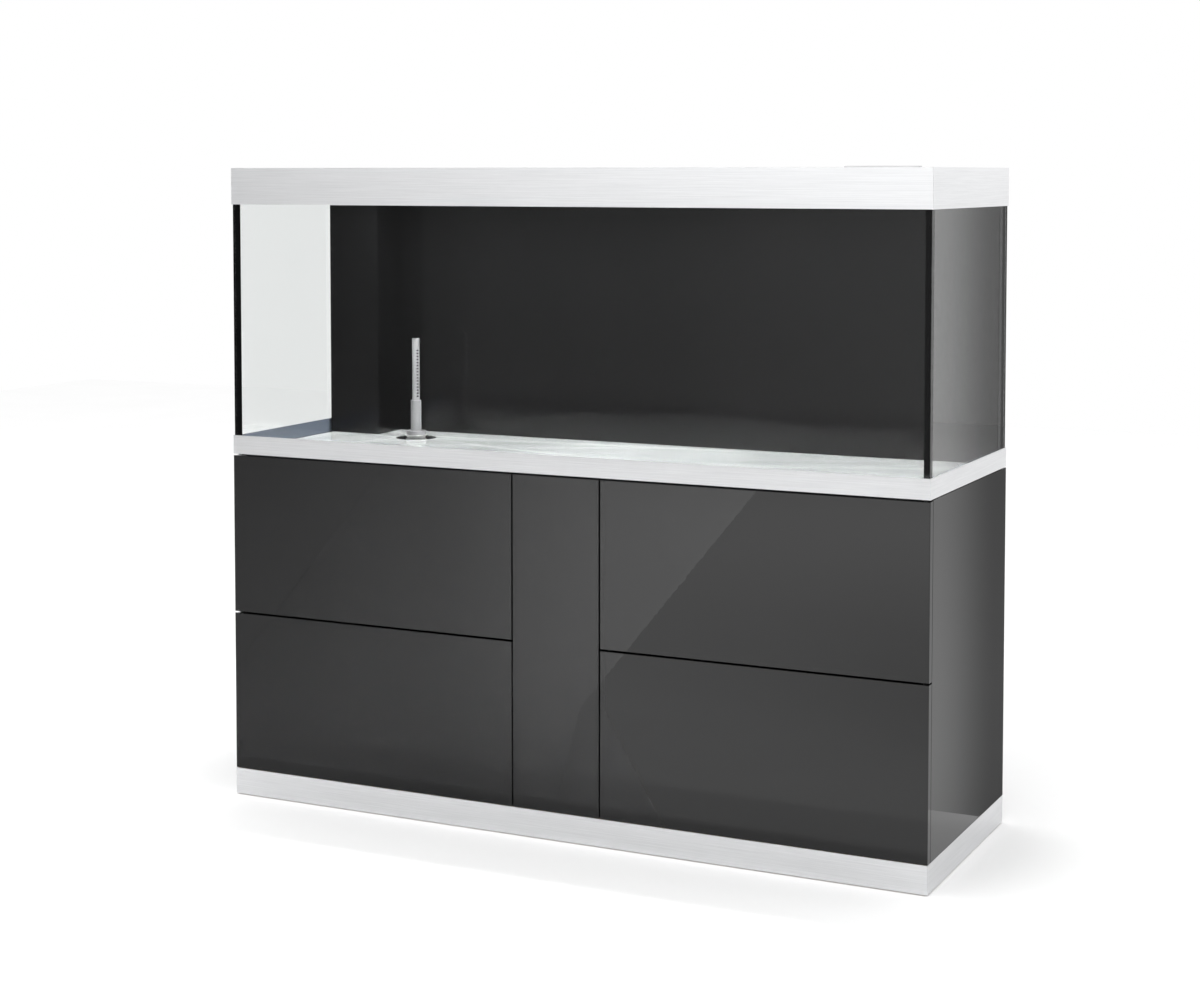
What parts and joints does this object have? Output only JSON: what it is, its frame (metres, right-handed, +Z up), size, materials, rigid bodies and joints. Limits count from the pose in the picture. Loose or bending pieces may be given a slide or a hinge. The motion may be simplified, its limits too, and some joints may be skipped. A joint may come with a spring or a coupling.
{
  "type": "aquarium on stand",
  "caption": "Long glass aquarium with an aluminium lid and foot trim on a high-gloss cabinet with push-open doors, drawers and a centre pull-out.",
  "frame": {"origin": "on the floor, under the middle of the cabinet", "axes": "+X to the right along the length, +Y from the front to the back, +Z up"},
  "size_m": [1.5, 0.5, 1.3125],
  "materials": {
    "brushed_aluminium": "brushed",
    "gloss_anthracite": "high gloss lacquer",
    "carcass_board": "matte melamine",
    "plinth_core": "raw particle board",
    "drawer_board": "satin melamine",
    "zinc_steel": "zinc plated",
    "black_plastic": "fine texture",
    "grey_plastic": "satin",
    "white_plastic": "satin",
    "knob_plastic": "satin",
    "black_acrylic": "gloss",
    "clear_glass": "polished",
    "black_silicone": "gloss bead",
    "black_foam": "closed-cell foam",
    "white_lid": "satin",
    "light_case": "anodised",
    "light_diffuser": "frosted"
  },
  "bodies": {
    "cabinet": {"back_panel": "carcass_board", "background_panel": "black_acrylic", "base_film": "white_plastic", "base_mat": "black_foam", "base_pane": "clear_glass", "base_trim": "brushed_aluminium", "bottom_board": "carcass_board", "bulkhead_nuts": "black_plastic", "bulkheads": "white_plastic", "cable_grommet": "black_plastic", "flap_hinge_rods": "zinc_steel", "front_pane": "clear_glass", "glass_braces": "clear_glass", "hinge_plates": "zinc_steel", "intake_sleeve": "grey_plastic", "latch_housings": "black_plastic", "levelling_feet": "black_plastic", "lid_deck": "white_lid", "lid_rails": "brushed_aluminium", "light_bars": "light_case", "light_covers": "light_diffuser", "partition_left": "carcass_board", "partition_right": "carcass_board", "plinth_boards": "plinth_core", "plinth_facing": "brushed_aluminium", "rear_pane": "clear_glass", "riser_pipe": "grey_plastic", "runner_outers": "zinc_steel", "shaft_casing": "black_acrylic", "side_left": "gloss_anthracite", "side_pane_left": "clear_glass", "side_pane_right": "clear_glass", "side_right": "gloss_anthracite", "silicone_seams": "black_silicone", "top_board": "carcass_board", "valve_bodies": "black_plastic"},
    "door_upper": {"door_upper": "gloss_anthracite"},
    "door_lower": {"door_lower": "gloss_anthracite"},
    "pullout": {"pullout_front": "gloss_anthracite", "pullout_box": "drawer_board", "pullout_runners_inner": "zinc_steel"},
    "pullout_slides": {"pullout_runners_middle": "zinc_steel"},
    "drawer_upper": {"drawer_upper_front": "gloss_anthracite", "drawer_upper_box": "drawer_board", "drawer_upper_runners_inner": "zinc_steel"},
    "drawer_upper_slides": {"drawer_upper_runners_middle": "zinc_steel"},
    "drawer_lower": {"drawer_lower_front": "gloss_anthracite", "drawer_lower_box": "drawer_board", "drawer_lower_runners_inner": "zinc_steel"},
    "drawer_lower_slides": {"drawer_lower_runners_middle": "zinc_steel"},
    "plunger_upper": {"plunger_upper": "knob_plastic"},
    "plunger_lower": {"plunger_lower": "knob_plastic"},
    "flap_left": {"flap_left": "white_lid"},
    "flap_right": {"flap_right": "white_lid"},
    "feeding_flap": {"feeding_flap": "white_lid"},
    "strainer": {"strainer": "grey_plastic"},
    "valve_knob_intake": {"valve_knob_intake": "knob_plastic"},
    "valve_knob_return": {"valve_knob_return": "knob_plastic"},
    "return_nozzle": {"return_nozzle": "grey_plastic"}
  },
  "joints": [
    {"name": "door_upper_hinge", "type": "hinge", "parent": "cabinet", "child": "door_upper", "pos_m": [-0.745, -0.242, 0.5506], "axis": [0, 0, -1], "range_deg": [0, 100]},
    {"name": "door_lower_hinge", "type": "hinge", "parent": "cabinet", "child": "door_lower", "pos_m": [-0.745, -0.242, 0.2204], "axis": [0, 0, -1], "range_deg": [0, 100]},
    {"name": "pullout_slide", "type": "slide", "parent": "cabinet", "child": "pullout", "axis": [0, -1, 0], "range_m": [0, 0.36]},
    {"name": "pullout_middle_slide", "type": "slide", "parent": "cabinet", "child": "pullout_slides", "axis": [0, -1, 0], "range_m": [0, 0.18]},
    {"name": "drawer_upper_slide", "type": "slide", "parent": "cabinet", "child": "drawer_upper", "axis": [0, -1, 0], "range_m": [0, 0.36]},
    {"name": "drawer_upper_middle_slide", "type": "slide", "parent": "cabinet", "child": "drawer_upper_slides", "axis": [0, -1, 0], "range_m": [0, 0.18]},
    {"name": "drawer_lower_slide", "type": "slide", "parent": "cabinet", "child": "drawer_lower", "axis": [0, -1, 0], "range_m": [0, 0.36]},
    {"name": "drawer_lower_middle_slide", "type": "slide", "parent": "cabinet", "child": "drawer_lower_slides", "axis": [0, -1, 0], "range_m": [0, 0.18]},
    {"name": "plunger_upper_press", "type": "slide", "parent": "cabinet", "child": "plunger_upper", "axis": [0, 1, 0], "range_m": [0, 0.0015], "stiffness_N_per_m": 150},
    {"name": "plunger_lower_press", "type": "slide", "parent": "cabinet", "child": "plunger_lower", "axis": [0, 1, 0], "range_m": [0, 0.0015], "stiffness_N_per_m": 150},
    {"name": "flap_left_hinge", "type": "hinge", "parent": "cabinet", "child": "flap_left", "pos_m": [-0.3685, 0.12, 1.3075], "axis": [-1, 0, 0], "range_deg": [0, 95]},
    {"name": "flap_right_hinge", "type": "hinge", "parent": "cabinet", "child": "flap_right", "pos_m": [0.3685, 0.12, 1.3075], "axis": [-1, 0, 0], "range_deg": [0, 95]},
    {"name": "feeding_flap_hinge", "type": "hinge", "parent": "flap_right", "child": "feeding_flap", "pos_m": [0.64, -0.149, 1.3075], "axis": [-1, 0, 0], "range_deg": [0, 100]},
    {"name": "strainer_lift", "type": "slide", "parent": "cabinet", "child": "strainer", "axis": [0, 0, 1], "range_m": [0, 0.08]},
    {"name": "valve_intake_turn", "type": "hinge", "parent": "cabinet", "child": "valve_knob_intake", "pos_m": [-0.512, 0.065, 0.6525], "axis": [0, 1, 0], "range_deg": [0, 90]},
    {"name": "valve_return_turn", "type": "hinge", "parent": "cabinet", "child": "valve_knob_return", "pos_m": [-0.677, 0.135, 0.6525], "axis": [0, 1, 0], "range_deg": [0, 90]},
    {"name": "nozzle_swivel", "type": "hinge", "parent": "cabinet", "child": "return_nozzle", "pos_m": [-0.677, 0.165, 1.245], "axis": [0, 0, 1], "range_deg": [-75, 0]}
  ],
  "couplings": [
    {"joint": "pullout_middle_slide", "follows": "pullout_slide", "ratio": 0.5},
    {"joint": "drawer_upper_middle_slide", "follows": "drawer_upper_slide", "ratio": 0.5},
    {"joint": "drawer_lower_middle_slide", "follows": "drawer_lower_slide", "ratio": 0.5}
  ]
}
